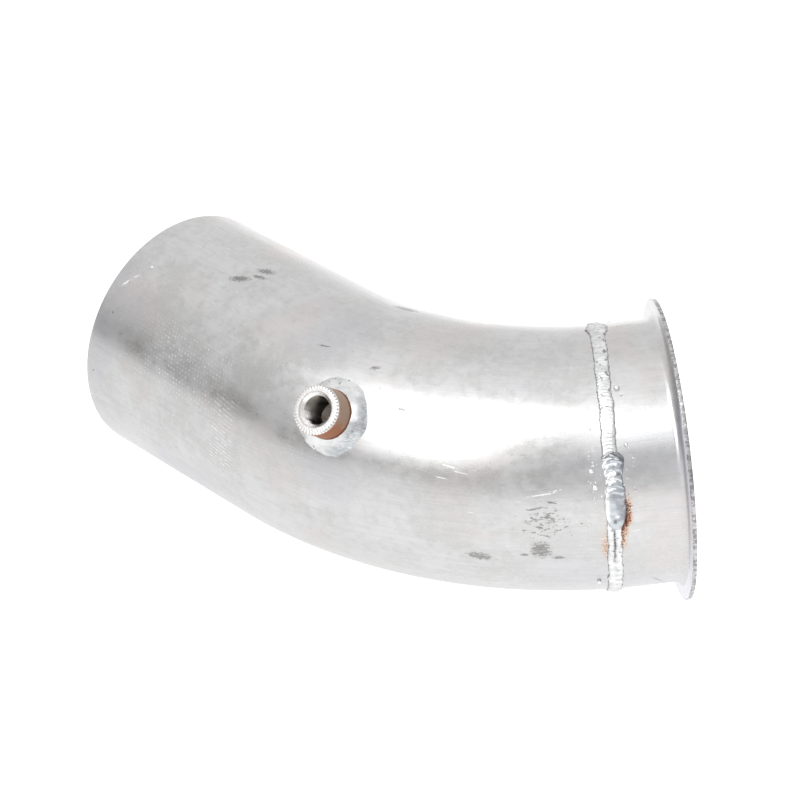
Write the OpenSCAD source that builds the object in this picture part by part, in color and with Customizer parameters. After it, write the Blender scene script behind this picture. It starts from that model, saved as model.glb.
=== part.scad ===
// Flue elbow: a mandrel-bent steel tube with a flared collar welded to one end,
// a threaded sensor boss let into the outside of the bend and a plain end for a clamp.
// Origin: centre of the flared collar's front face. +X leaves the mouth along the
// collar's axis, +Z is square to the plane of the bend, and the bend turns towards +Y.

/* [Tube] */
// Outside diameter of the tube and of the collar
tube_od = 101.6; // [90:0.1:115]
// Wall thickness of the sheet
wall = 1.65; // [1.2:0.05:2.5]
// Centreline radius of the bend
bend_r = 152.4; // [130:0.1:200]
// Angle of the bend, from the girth weld to the plain leg
bend_angle = 47.5; // [40:0.5:60]
// Straight plain leg after the bend
leg_len = 80; // [40:1:150]

/* [Collar] */
// Axis length from the mouth face to the girth weld
collar_len = 25.8; // [20:0.1:40]
// Outside diameter of the flared lip
lip_od = 116.4; // [114:0.1:122]
// Radius inside the fold behind the lip
lip_fold = 3.5; // [2.5:0.1:4]
// Turn of the collar's axis against the tube's end, cut on the collar
mitre = 4.2; // [0:0.1:6]

/* [Girth weld] */
// Gap between the two sheet edges, filled with weld metal
root_gap = 1; // [0.6:0.1:2]
// Width of the bead
bead_w = 5.6; // [4:0.1:7]
// Height of the bead over the tube
bead_h = 1.1; // [0.6:0.1:1.6]
// Width of the root bead inside the bore
root_w = 3; // [2.2:0.1:4]
// Height of the root bead inside the bore
root_h = 0.7; // [0.4:0.1:1]
// Place where the near run starts, in degrees above the outside of the bend
run_start = 103; // [90:1:120]
// Place of the stop lump's middle, in degrees above the outside of the bend
lump_at = 20; // [10:1:30]

/* [Stop lump] */
// Length of the lump along the weld
lump_len = 29; // [20:1:34]
// Width of the lump across the weld
lump_w = 8; // [6.5:0.1:10]
// Height of the lump over the tube
lump_h = 2.7; // [2.2:0.1:3.5]
// Offset of the lump towards the lip
lump_shift = 0.8; // [0:0.1:1.5]

/* [Sensor boss] */
// Outside diameter of the boss
boss_od = 19.05; // [17:0.05:22]
// Minor diameter of the tapped hole
boss_bore = 11.1; // [10:0.1:12]
// Height of the boss over the tube
boss_h = 14; // [10:0.5:18]
// Place of the boss along the bend, in degrees from the girth weld
boss_along = 32.4; // [24:0.1:34]
// Lift of the boss above the plane of the bend
boss_lift = 42.6; // [30:0.1:60]
// Depth of the chamfer at the mouth of the tapped hole
mouth_chamfer = 1.25; // [0.5:0.05:2]
// Climb of the fillet weld on the boss
fillet_up = 3.6; // [2:0.1:5]
// Reach of the fillet weld over the tube, from the boss wall
fillet_out = 5.6; // [4:0.1:7]

/* [Hidden] */
$fn = 96;

tube_r = tube_od / 2;
bore_r = tube_r - wall;
lip_r = lip_od / 2;
// the fold that turns the collar out into its lip
mouth_fold = lip_fold + wall;
fold_x = -mouth_fold;
fold_r = tube_r + lip_fold;
// burr-free corner of the lip's rim
lip_break = 0.3;
boss_r = boss_od / 2;
tap_r = boss_bore / 2;
boss_break = 0.5;
// the boss ends where its side wall leaves the bore of the tube
boss_root = sqrt(bore_r * bore_r - boss_r * boss_r);
boss_top = tube_r + boss_h;
// half the root gap, as an angle of the bend
gap_turn = asin(root_gap / 2 / bend_r);
// weld profiles start a little under the surface that they are cut to
bead_sink = 0.4;
root_sink = 0.4;
fillet_bulge = 0.7;
fillet_drop = 2.6;
// half of the arc that the lump takes up
lump_sweep = 0.92 * asin(lump_len / 2 / tube_r);
arc_steps = 14;
far = 200;

// Droplets beside the seam: degrees above the outside of the bend, offset towards the
// lip, radius
DROPLETS = [[66, 4.6, 1.2], [31, -7.2, 1.0], [24, -6.2, 1.1], [41, 6.2, 0.8],
            [128, 5.5, 1.0], [-30, -6.2, 1.0], [205, 6, 1.1], [236, -6.6, 1.0]];
droplet_sink = 0.35;

// ---- frames ---------------------------------------------------------------

// Centre of the girth weld: +X square to the weld, towards the mouth, -Y to the
// outside of the bend
module weld_frame() {
    translate([-collar_len, 0, 0])
        rotate([0, 0, -mitre])
            children();
}

// Centre of the bend, with the plain leg starting below it in -Y
module bend_frame() {
    weld_frame()
        translate([0, bend_r, 0])
            rotate([0, 0, -bend_angle])
                children();
}

// +Z out of the tube along the boss, from the tube's axis
module boss_frame() {
    bend_frame()
        rotate([0, 0, bend_angle - boss_along])
            translate([0, -bend_r, 0])
                rotate([90 - boss_lift, 0, 0])
                    children();
}

// A body of revolution about the weld's axis, between two places on the tube
module around_weld(low, high) {
    weld_frame()
        rotate([0, 90, 0])
            rotate([0, 0, -90 - high])
                rotate_extrude(angle = high - low)
                    children();
}

// A place on the weld's circle: +Z outwards, +X towards the mouth
module on_weld(at) {
    weld_frame()
        rotate([90 - at, 0, 0])
            children();
}

// ---- shared shapes --------------------------------------------------------

module ring(r_out, r_in) {
    difference() {
        circle(r = r_out);
        if (r_in > 0) circle(r = r_in);
    }
}

// Curved length of the tube, up to its edge in the root gap
module bend(r_out, r_in = 0) {
    bend_frame()
        rotate_extrude(angle = bend_angle - gap_turn, start = -90, $fn = 180)
            translate([bend_r, 0])
                ring(r_out, r_in);
}

// Plain leg after the bend
module leg(r_out, r_in = 0) {
    bend_frame()
        translate([0, -bend_r, 0])
            rotate([0, -90, 0])
                linear_extrude(height = leg_len)
                    ring(r_out, r_in);
}

// Everything on the tube side of the collar's edge
module tube_side() {
    weld_frame()
        translate([root_gap / 2 - far, -far / 2, -far / 2])
            cube([far, far, far]);
}

// Straight barrel of the collar between the weld and the fold
module barrel(r_out, r_in = 0) {
    difference() {
        rotate([0, -90, 0])
            translate([0, 0, -fold_x])
                linear_extrude(height = collar_len)
                    ring(r_out, r_in);
        tube_side();
    }
}

// Solid stock that fills the bore and the walls on both sides of the weld
module weld_stock() {
    bend(tube_r);
    barrel(tube_r);
    weld_frame()
        rotate([0, 90, 0])
            cylinder(r = tube_r, h = 2 * root_gap, center = true);
}

// Points of an arc about a centre, from one angle to another
function arc(cx, cy, r, from, to) =
    [for (i = [0:arc_steps]) let (a = from + (to - from) * i / arc_steps)
        [cx + r * cos(a), cy + r * sin(a)]];

// Points of a low dome across the weld; way is 1 for outwards and -1 for inwards
function dome(r, half_w, h, way) =
    [for (i = [0:arc_steps]) let (a = 180 * i / arc_steps)
        [r + way * h * sin(a), -way * half_w * cos(a)]];

// Section of the girth weld: cap outside, root bead inside
module weld_section() {
    polygon(concat(dome(tube_r - bead_sink, bead_w / 2, bead_h + bead_sink, 1),
                   dome(bore_r + root_sink, root_w / 2, root_h + root_sink, -1)));
}

// One run of the girth weld, in the gap and on both sheets
module weld_run(low, high) {
    difference() {
        around_weld(low, high) weld_section();
        bend(tube_r, bore_r);
        barrel(tube_r, bore_r);
    }
}

// ---- the pieces -----------------------------------------------------------

module elbow_tube() {
    color([0.76, 0.75, 0.73])
        difference() {
            union() {
                bend(tube_r, bore_r);
                leg(tube_r, bore_r);
            }
            boss_frame()
                translate([0, 0, bore_r / 2])
                    cylinder(r = boss_r, h = tube_r);
        }
}

module flare_collar() {
    color([0.80, 0.80, 0.80])
        difference() {
            rotate([0, 90, 0])
                rotate_extrude()
                    polygon(concat(
                        [[bore_r, -collar_len - 8], [tube_r, -collar_len - 8]],
                        arc(fold_r, fold_x, lip_fold, 180, 90),
                        [[lip_r, -wall], [lip_r, -lip_break], [lip_r - lip_break, 0]],
                        arc(fold_r, fold_x, mouth_fold, 90, 180)));
            tube_side();
        }
}

// From the top of the seam down its near side to the lump
module girth_weld_near_run() {
    color([0.70, 0.70, 0.71]) weld_run(lump_at + lump_sweep, run_start);
}

// From the lump round the bottom and the inside of the bend to the top
module girth_weld_far_run() {
    color([0.66, 0.66, 0.68]) weld_run(run_start, 360 + lump_at - lump_sweep);
}

// Oval blob where the near run was stopped, on the length of bead that it flowed into
module weld_stop_lump() {
    color([0.52, 0.53, 0.55])
        union() {
            difference() {
                intersection() {
                    lump_blob();
                    around_weld(lump_at - lump_sweep, lump_at + lump_sweep)
                        translate([bore_r, -lump_w])
                            square([tube_r, 2 * lump_w]);
                }
                weld_stock();
            }
            weld_run(lump_at - lump_sweep, lump_at + lump_sweep);
        }
}

module lump_blob() {
    sagitta = tube_r - sqrt(tube_r * tube_r - lump_len * lump_len / 4);
    on_weld(lump_at)
        translate([lump_shift, 0, tube_r - sagitta])
            scale([lump_w / 2, lump_len / 2, lump_h + sagitta])
                sphere(r = 1);
}

module threaded_boss() {
    chamfer_r = tap_r + mouth_chamfer;
    color([0.72, 0.71, 0.70])
        boss_frame()
            rotate_extrude()
                polygon([[tap_r, boss_root], [boss_r, boss_root],
                         [boss_r, boss_top - boss_break], [boss_r - boss_break, boss_top],
                         [chamfer_r, boss_top], [tap_r, boss_top - mouth_chamfer]]);
}

// Fillet weld between the boss and the outside of the bend
module boss_weld() {
    top = [boss_r, tube_r + fillet_up];
    slope = [fillet_out, -(fillet_up + fillet_drop)];
    normal = [-slope[1], slope[0]] / norm(slope);
    face = [for (i = [0:arc_steps]) let (u = i / arc_steps)
        top + slope * u + normal * fillet_bulge * sin(180 * u)];
    color([0.68, 0.68, 0.67])
        difference() {
            boss_frame()
                rotate_extrude()
                    polygon(concat([[boss_r, bore_r - 3]], face,
                                   [[boss_r + fillet_out, bore_r - 3]]));
            bend(tube_r);
        }
}

// Round droplets thrown beside the seam, cut to the sheet that they landed on
module weld_spatter() {
    color([0.85, 0.85, 0.85]) {
        difference() {
            droplets([for (d = DROPLETS) if (d[1] < 0) d]);
            bend(tube_r);
        }
        difference() {
            droplets([for (d = DROPLETS) if (d[1] > 0) d]);
            barrel(tube_r);
        }
    }
}

module droplets(list) {
    for (d = list)
        on_weld(d[0])
            translate([d[1], 0, tube_r + d[2] - 2 * droplet_sink])
                sphere(r = d[2], $fn = 36);
}

elbow_tube();
flare_collar();
girth_weld_near_run();
girth_weld_far_run();
weld_stop_lump();
threaded_boss();
boss_weld();
weld_spatter();
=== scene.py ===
"""Visual model of a flue elbow: a bent steel tube, a flared collar, their weld and a sensor boss."""

import logging
import math
import random
from dataclasses import dataclass
from enum import Enum
from functools import partial, reduce
from typing import Callable, Iterable

import bmesh
import bpy
from mathutils import Matrix, Vector, noise


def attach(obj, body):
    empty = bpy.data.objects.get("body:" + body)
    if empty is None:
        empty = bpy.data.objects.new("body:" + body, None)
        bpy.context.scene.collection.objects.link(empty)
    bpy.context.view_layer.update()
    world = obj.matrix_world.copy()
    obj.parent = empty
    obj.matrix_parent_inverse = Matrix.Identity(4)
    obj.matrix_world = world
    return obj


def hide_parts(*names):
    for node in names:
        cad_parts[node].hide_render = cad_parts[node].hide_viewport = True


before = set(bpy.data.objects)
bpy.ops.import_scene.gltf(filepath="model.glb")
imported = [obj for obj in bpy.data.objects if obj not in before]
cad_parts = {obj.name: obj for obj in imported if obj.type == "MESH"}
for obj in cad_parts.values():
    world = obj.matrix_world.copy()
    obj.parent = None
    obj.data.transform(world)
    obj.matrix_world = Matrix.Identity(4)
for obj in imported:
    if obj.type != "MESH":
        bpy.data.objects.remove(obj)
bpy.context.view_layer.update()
LOG = logging.getLogger("flue_elbow")
MM = 0.001
FULL_TURN = 2 * math.pi
STRAIGHT = "straight"  # each point's place in mm as if the tube had not been bent
ARC = 0.887  # mm round the outside of the tube for each degree
MID_WALL = (49.4, 50.0)  # mm from the axis: soot ends within the wall
BEAD_EDGE = 60  # degrees that weld metal may turn and still be shaded smooth
CORNER = 1.2  # radians that the faces turn at the corners of a cut sheet
METRE_DOUBLES, MM_DOUBLES = 1e-6, 1e-4  # points nearer than this are one, in a mesh in metres or in mm
RGB = tuple[float, float, float]
Socket = bpy.types.NodeSocket
Piece = bpy.types.Object
Skin, Point, Edge = bmesh.types.BMesh, bmesh.types.BMVert, bmesh.types.BMEdge


class Node(str, Enum):
    """The CAD nodes that the pieces stand for."""

    TUBE = "elbow_tube"
    COLLAR = "flare_collar"
    NEAR_RUN = "girth_weld_near_run"
    FAR_RUN = "girth_weld_far_run"
    LUMP = "weld_stop_lump"
    BOSS = "threaded_boss"
    BOSS_WELD = "boss_weld"
    SPATTER = "weld_spatter"


class Slot(str, Enum):
    """The record's material slots."""

    TUBE = "tube_steel"
    COLLAR = "collar_steel"
    GIRTH_WELD = "girth_weld_metal"
    LUMP = "lump_metal"
    BOSS = "boss_steel"
    BOSS_WELD = "boss_weld_metal"
    SPATTER = "spatter_metal"


class Sum(str, Enum):
    """Steps of arithmetic that the finishes use."""

    ADD = "ADD"
    SUBTRACT = "SUBTRACT"
    MULTIPLY = "MULTIPLY"
    MOST = "MAXIMUM"
    LEAST = "MINIMUM"
    SINE = "SINE"
    ANGLE = "ARCTAN2"


# ---- small helpers --------------------------------------------------------


def smooth(low: float, high: float, value: float) -> float:
    """A soft step from 0 at low to 1 at high.

    Args:
        low: where the step starts.
        high: where the step ends.
        value: the place looked at.

    Returns:
        The height of the step there.
    """
    t = min(1.0, max(0.0, (value - low) / (high - low)))
    return t * t * (3 - 2 * t)


def hump(value: float, middle: float, reach: float) -> float:
    """A bell of height 1 about middle, nearly gone two reaches away."""
    return math.exp(-((value - middle) / reach) ** 2)


def wobble(*place: float, seed: float = 0.0) -> float:
    """Smooth noise from about -1 to 1 at up to three coordinates, different for each seed."""
    x, y, z = (*place, 0.0, 0.0)[:3]
    return noise.noise((x + 17.3 * seed, y - 5.1 * seed, z + 9.7 * seed))


def draw_on(bm: Skin, vert: Point, by: Vector, steps: int) -> Point:
    """Draws a straight stretch of a section on from its last point.

    Args:
        bm: the mesh.
        vert: the point to start from.
        by: how far, and which way.
        steps: how many edges the stretch has.

    Returns:
        The stretch's last point.
    """
    for _ in range(steps):
        vert = bmesh.ops.extrude_vert_indiv(bm, verts=[vert])["verts"][0]
        vert.co += by / steps
    return vert


def spin(bm: Skin, geom: list, centre: Vector | tuple, axis: tuple, angle: float, steps: int,
         closed: bool = False) -> None:
    """Turns part of a mesh about an axis, leaving a skin behind it.

    Args:
        bm: the mesh.
        geom: the points and edges that turn.
        centre: a point on the axis.
        axis: the axis's direction.
        angle: how far, in radians.
        steps: how many faces lie along the turn.
        closed: whether the last step meets the first.
    """
    bmesh.ops.spin(bm, geom=geom, cent=centre, axis=axis, dvec=(0, 0, 0), angle=angle, steps=steps,
                   use_merge=closed, use_normal_flip=False, use_duplicate=False)


def spin_round(bm: Skin, axis: tuple, steps: int, doubles: float) -> None:
    """Spins a whole section once about an axis through the origin and merges its seam."""
    spin(bm, bm.verts[:] + bm.edges[:], (0, 0, 0), axis, FULL_TURN, steps, closed=True)
    bmesh.ops.remove_doubles(bm, verts=bm.verts, dist=doubles)


def face_out(bm: Skin, face: bmesh.types.BMFace, height: Callable[[Vector], float]) -> None:
    """Turns an open skin's faces the way in which height grows, as judged at one face.

    Args:
        bm: the mesh.
        face: the face that is looked at.
        height: gives a point's distance out from the inside.
    """
    middle = face.calc_center_median()
    if height(middle + face.normal * MM) < height(middle):
        bmesh.ops.reverse_faces(bm, faces=bm.faces)


def break_rim(bm: Skin, on_rim: Callable[[Vector], bool], width: float) -> None:
    """Takes the sharp corners off a rim.

    Args:
        bm: the mesh.
        on_rim: tells whether a point belongs to the rim.
        width: width of the break, in metres.
    """
    rim = [e for e in bm.edges if e.calc_face_angle(0) > CORNER and all(on_rim(v.co) for v in e.verts)]
    bmesh.ops.bevel(bm, geom=rim, offset=width, segments=2, affect="EDGES", profile=0.5, material=-1)


def place_mesh(bm: Skin, name: str, sharp_degrees: float = 35.0) -> Piece:
    """Makes a finished bmesh an object at the origin, shaded smooth but for its sharp edges.

    Args:
        bm: the mesh, in metres, where the piece belongs.
        name: the piece's name.
        sharp_degrees: edges that turn more than this stay crisp.

    Returns:
        The new object.
    """
    limit = math.radians(sharp_degrees)
    for face in bm.faces:
        face.smooth = True
    for edge in bm.edges:
        edge.smooth = edge.calc_face_angle(0.0) < limit
    mesh = bpy.data.meshes.new(name)
    bm.to_mesh(mesh)
    bm.free()
    piece = bpy.data.objects.new(name, mesh)
    bpy.context.scene.collection.objects.link(piece)
    return piece


def store(piece: Piece, rules: dict[str, Callable[[Vector], float]]) -> None:
    """Keeps numbers for each point of a piece, which its finish reads.

    Args:
        piece: the object.
        rules: for each attribute's name, what gives the number from the point's place.
    """
    for name, rule in rules.items():
        data = piece.data.attributes.new(name, "FLOAT", "POINT").data
        for item, vert in zip(data, piece.data.vertices):
            item.value = rule(vert.co)


def nowhere(co: Vector) -> float:
    """0 at every point, for a mark that a piece doesn't have."""
    return 0.0


def store_place(piece: Piece, rule: Callable[[Vector], Vector]) -> None:
    """Keeps each point's unbent place in mm on a piece, for patterns that follow the sheet."""
    data = piece.data.attributes.new(STRAIGHT, "FLOAT_VECTOR", "POINT").data
    for item, vert in zip(data, piece.data.vertices):
        item.vector = rule(vert.co)


# ---- the elbow's layout ---------------------------------------------------


@dataclass(frozen=True)
class Layout:
    """Sizes that the pieces share, in metres and degrees, and the frames that they stand in."""

    tube_r: float = 50.8 * MM
    wall: float = 1.65 * MM
    bend_r: float = 152.4 * MM
    bend_angle: float = 47.5
    leg: float = 80 * MM
    collar: float = 25.8 * MM
    mitre: float = 4.2
    lip_r: float = 58.2 * MM
    root_gap: float = 1.0 * MM
    boss_r: float = 9.525 * MM
    boss_along: float = 32.4
    boss_lift: float = 42.6

    @property
    def bore_r(self) -> float:
        """Inside radius of the tube."""
        return self.tube_r - self.wall

    @property
    def tube_mm(self) -> float:
        """Outside radius of the tube in mm."""
        return self.tube_r / MM

    @property
    def weld_at(self) -> float:
        """Length along the centreline from the plain end to the girth weld, in mm."""
        return (self.leg + self.bend_r * math.radians(self.bend_angle)) / MM

    def weld(self) -> Matrix:
        """Centre of the girth weld: +X square to the weld, towards the mouth."""
        turn = Matrix.Rotation(-math.radians(self.mitre), 4, "Z")
        return Matrix.Translation((-self.collar, 0, 0)) @ turn

    def bend(self) -> Matrix:
        """Centre of the bend: the plain leg starts below it in -Y and runs towards -X."""
        turn = Matrix.Rotation(-math.radians(self.bend_angle), 4, "Z")
        return self.weld() @ Matrix.Translation((0, self.bend_r, 0)) @ turn

    def boss(self) -> Matrix:
        """Axis of the boss, from the tube's centreline: +Z outwards."""
        along = Matrix.Rotation(math.radians(self.bend_angle - self.boss_along), 4, "Z")
        lift = Matrix.Rotation(math.radians(90 - self.boss_lift), 4, "X")
        return self.bend() @ along @ Matrix.Translation((0, -self.bend_r, 0)) @ lift

    def unbent_tube(self, co: Vector) -> Vector:
        """Where a point of the tube would be if the tube were straight.

        Args:
            co: the point, in metres.

        Returns:
            Length from the plain end, distance to the outside of the bend and height, in mm.
        """
        p = self.bend().inverted() @ co
        turn = math.atan2(p.x, -p.y)
        if turn > 0:
            along, out = self.leg + self.bend_r * turn, math.hypot(p.x, p.y) - self.bend_r
        else:
            along, out = self.leg + p.x, -p.y - self.bend_r
        return Vector((along, out, p.z)) / MM

    def unbent_collar(self, co: Vector) -> Vector:
        """The same for a point of the collar, whose axis carries the tube's on."""
        return Vector((self.weld_at + (co.x + self.collar) / MM, -co.y / MM, co.z / MM))

    def beside_weld(self, co: Vector) -> tuple[float, float]:
        """Distance past the seam towards the mouth in mm, and degrees above the outside of the bend."""
        p = self.weld().inverted() @ co
        return p.x / MM, math.degrees(math.atan2(p.z, -p.y))

    def bend_surface(self, co: Vector) -> float:
        """How far a point stands over the outside of the bend, in metres."""
        p = self.bend().inverted() @ co
        return math.hypot(math.hypot(p.x, p.y) - self.bend_r, p.z) - self.tube_r


# ---- finishes -------------------------------------------------------------


class Nodes:
    """Adds shader nodes to one tree and links them."""

    def __init__(self, tree: bpy.types.NodeTree) -> None:
        """Keeps the tree."""
        self.tree = tree

    def node(self, kind: str, inputs: dict[str | int, object] | None = None,
             **settings: object) -> bpy.types.Node:
        """Adds a node.

        Args:
            kind: the node's type.
            inputs: sockets by name or number, each given a value or a link.
            settings: the node's own settings.

        Returns:
            The node.
        """
        made = self.tree.nodes.new(kind)
        for key, value in settings.items():
            setattr(made, key, value)
        for key, value in (inputs or {}).items():
            self.plug(value, made.inputs[key])
        return made

    def plug(self, value: object, socket: Socket) -> None:
        """Links value to a socket, or sets it there when it is a plain number or colour."""
        if isinstance(value, Socket):
            self.tree.links.new(value, socket)
        else:
            socket.default_value = value

    def split(self, vector: Socket) -> tuple[Socket, ...]:
        """The three coordinates of a vector."""
        return tuple(self.node("ShaderNodeSeparateXYZ", {0: vector}).outputs)

    def step(self, value: object, low: float, high: float,
             to_low: float = 0.0, to_high: float = 1.0) -> Socket:
        """A soft step of value between two levels.

        Args:
            value: the number stepped.
            low: level at which the step starts.
            high: level at which it ends.
            to_low: result below the step.
            to_high: result above it.

        Returns:
            The value socket.
        """
        inputs = {"Value": value, "From Min": low, "From Max": high, "To Min": to_low, "To Max": to_high}
        return self.node("ShaderNodeMapRange", inputs, interpolation_type="SMOOTHSTEP").outputs[0]

    def sum(self, kind: Sum, a: object, b: object = 0.0) -> Socket:
        """One step of arithmetic on one or two numbers."""
        return self.node("ShaderNodeMath", {0: a, 1: b}, operation=kind.value).outputs[0]

    def times(self, *values: object) -> Socket:
        """The product of several numbers."""
        return reduce(partial(self.sum, Sum.MULTIPLY), values)

    def plus(self, *values: object) -> Socket:
        """The sum of several numbers."""
        return reduce(partial(self.sum, Sum.ADD), values)

    def most(self, *values: object) -> Socket:
        """The largest of several numbers."""
        return reduce(partial(self.sum, Sum.MOST), values)


class Pattern(Nodes):
    """The nodes of one finish, from the surface shader back."""

    def __init__(self, name: str, metallic: float = 1.0) -> None:
        """Starts a material.

        Args:
            name: the material's name.
            metallic: how metallic the surface is all over.
        """
        self.material = bpy.data.materials.new(name)
        self.material.use_nodes = True
        super().__init__(self.material.node_tree)
        self.surface = self.tree.nodes["Principled BSDF"]
        self.put("Metallic", metallic)

    def put(self, socket: str, value: object) -> None:
        """Gives one of the surface shader's sockets a value or a link."""
        self.plug(value, self.surface.inputs[socket])

    def stored(self, name: str) -> Socket:
        """A number that the piece keeps at each point."""
        return self.node("ShaderNodeAttribute", attribute_name=name).outputs["Fac"]

    def place(self, stretch: tuple[float, float, float] = (1, 1, 1), turn: float = 0.0) -> Socket:
        """The unbent place in mm, stretched and turned for a pattern.

        Args:
            stretch: how many times finer the pattern is along, out and up.
            turn: slant of the pattern in degrees.

        Returns:
            The vector socket.
        """
        read = self.node("ShaderNodeAttribute", attribute_name=STRAIGHT).outputs["Vector"]
        slant = (0.0, math.radians(turn), math.radians(turn))
        inputs = {"Vector": read, "Scale": stretch, "Rotation": slant}
        return self.node("ShaderNodeMapping", inputs).outputs[0]

    def cloud(self, where: Socket, scale: float,
              detail: float = 3.0, rough: float = 0.5) -> Socket:
        """Soft noise from 0 to 1.

        Args:
            where: the vector it reads.
            scale: features per mm.
            detail: how many finer layers it has.
            rough: how strong those are.

        Returns:
            The value socket.
        """
        inputs = {"Vector": where, "Scale": scale, "Detail": detail, "Roughness": rough}
        return self.node("ShaderNodeTexNoise", inputs).outputs["Fac"]

    def cells(self, where: Socket, scale: float) -> Socket:
        """Distance to the nearest of scattered points, from 0 at a point."""
        return self.node("ShaderNodeTexVoronoi", {"Vector": where, "Scale": scale}).outputs["Distance"]

    def tint(self, share: object, under: object, over: object) -> Socket:
        """Lays one colour over another by a share from 0 to 1.

        Args:
            share: how much of the upper colour shows.
            under: the lower colour.
            over: the upper colour.

        Returns:
            The colour socket.
        """
        made = self.node("ShaderNodeMix", data_type="RGBA", clamp_factor=True)
        for socket, value in ((0, share), (6, under), (7, over)):
            self.plug((*value, 1.0) if isinstance(value, tuple) else value, made.inputs[socket])
        return made.outputs[2]

    def relief(self, height: Socket, depth_mm: float, strength: float = 1.0) -> None:
        """Gives the surface a fine relief whose full height is depth_mm."""
        inputs = {"Height": height, "Distance": depth_mm * MM, "Strength": strength}
        self.put("Normal", self.node("ShaderNodeBump", inputs).outputs[0])


@dataclass(frozen=True)
class Mark:
    """A small flaw on the sheet: mm from the plain end, degrees up, half sizes in mm and slant."""

    along: float
    around: float
    length: float
    width: float
    turn: float = 0.0


@dataclass(frozen=True)
class SatinSteel:
    """Satin drawn sheet steel with mottling, streaks, scuffs, dirt, rust by the weld and soot inside."""

    name: str
    base: RGB = (0.500, 0.498, 0.495)
    pale: RGB = (0.575, 0.575, 0.58)
    warm: RGB = (0.545, 0.505, 0.490)
    cool: RGB = (0.485, 0.487, 0.515)
    dull: RGB = (0.41, 0.41, 0.405)
    rust: RGB = (0.50, 0.19, 0.06)
    cut_edge: RGB = (0.43, 0.42, 0.44)
    # pale bluish-white on the back of the lip: a painted sheen
    lip: RGB = (0.84, 0.84, 0.89)
    rust_haze: RGB = (0.62, 0.42, 0.27)
    dark_rust: RGB = (0.10, 0.025, 0.012)
    soot: RGB = (0.20, 0.185, 0.17)
    soot_brown: RGB = (0.26, 0.19, 0.14)
    dirt: RGB = (0.16, 0.155, 0.15)
    scuff: RGB = (0.95, 0.95, 0.95)
    gloss_low: float = 0.25
    gloss_high: float = 0.37
    dark_marks: tuple[Mark, ...] = ()
    pale_marks: tuple[Mark, ...] = ()
    gripped: bool = False
    tube_r: float = 50.8

    def material(self) -> bpy.types.Material:
        """Builds the finish.

        Returns:
            The material.
        """
        p = Pattern(self.name)
        flat = p.place()
        mottle = p.cloud(flat, 0.05, 4.0, 0.6)
        blotch = p.cloud(flat, 0.30, 5.0, 0.68)
        fine = p.cloud(flat, 1.1, 5.0, 0.7)
        grain = p.cloud(flat, 4.0, 2.0, 0.6)
        drawn = p.cloud(p.place((0.05, 1, 1)), 1.2, 3.0, 0.6)
        colour = self._sheet(p, mottle, blotch, drawn)
        lost = p.plus(p.times(p.stored("pitted"), 0.22), p.cloud(p.place((0.6, 1, 1)), 0.75, 5.0, 0.7))
        pits = p.step(lost, 0.76, 0.82)
        ragged = p.cloud(p.place((0.55, 1.0, 1.0)), 1.5, 5.0, 0.8)
        specks = p.times(p.step(p.cells(flat, 0.16), 0.07, 0.03), p.step(p.cloud(flat, 0.11), 0.55, 0.62))
        dark = p.most(specks, pits, self._marks(p, self.dark_marks, ragged))
        bright = p.most(self._scuffs(p), self._marks(p, self.pale_marks, fine))
        height = p.plus(p.times(grain, 0.15), p.times(fine, 0.45), p.times(drawn, 0.2), p.times(dark, -0.8))
        if self.gripped:
            grip = self._grip(p)
            bright = p.most(bright, grip)
            height = p.sum(Sum.SUBTRACT, height, grip)
        lip = p.stored("lip")
        # painted sheen: the back of the lip is painted pale, grainy
        colour = p.tint(p.times(lip, p.step(grain, 0.3, 0.6, 0.6, 1.0)), colour, self.lip)
        colour = p.tint(p.step(p.stored("pitted"), 1.12, 1.2, 0.0, 0.6), colour, self.cut_edge)
        colour = p.tint(p.times(dark, 0.75), colour, self.dirt)
        colour = p.tint(p.times(bright, 0.8), colour, self.scuff)
        rusty = p.stored("rust")
        grit = p.cloud(flat, 1.9, 4.0, 0.75)
        bite = p.step(p.plus(p.times(rusty, 0.55), p.times(grit, 1.4)), 1.02, 1.14)
        colour = p.tint(p.times(p.step(rusty, 0.1, 0.9), 0.35), colour, self.rust_haze)
        browned = p.step(p.plus(p.times(rusty, 0.8), p.times(grit, 1.1)), 1.02, 1.34)
        colour = p.tint(bite, colour, p.tint(browned, self.rust, self.dark_rust))
        inside = p.stored("inside")
        p.put("Base Color", p.tint(inside, colour, self._soot(p, blotch, drawn, pits)))
        p.put("Metallic", p.step(bite, 0.2, 1.0, 1.0, 0.25))
        worn = p.plus(p.times(mottle, 0.5), p.times(blotch, 0.25), p.times(drawn, 0.25))
        shine = p.step(worn, 0.38, 0.62, self.gloss_low, self.gloss_high)
        p.put("Roughness", p.most(shine, p.times(bite, 0.8), p.times(inside, 0.55), p.times(lip, 0.6)))
        p.relief(height, 0.035, 0.9)
        return p.material

    def _sheet(self, p: Pattern, mottle: Socket, blotch: Socket,
               drawn: Socket) -> Socket:
        """Colour of the clean sheet: pale and grey patches, warm and cool areas and dull streaks.

        Args:
            p: the pattern being built.
            mottle: large soft noise.
            blotch: smaller noise.
            drawn: noise drawn out along the tube.

        Returns:
            The colour.
        """
        patches = p.step(p.plus(p.times(mottle, 0.6), p.times(blotch, 0.4)), 0.4, 0.62)
        colour = p.tint(patches, self.base, self.pale)
        warmth = p.step(p.cloud(p.place(turn=30), 0.026, 3.0, 0.55), 0.48, 0.66, 0.0, 0.6)
        colour = p.tint(p.times(warmth, p.step(blotch, 0.3, 0.6, 0.4, 1.0)), colour, self.warm)
        chill = p.step(p.cloud(p.place(turn=-40), 0.021, 2.0, 0.5), 0.50, 0.64, 0.0, 0.55)
        colour = p.tint(chill, colour, self.cool)
        colour = p.tint(p.times(p.step(drawn, 0.45, 0.75), 0.3), colour, self.dull)
        return p.tint(p.times(p.step(blotch, 0.48, 0.36), 0.13), colour, self.dull)

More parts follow.
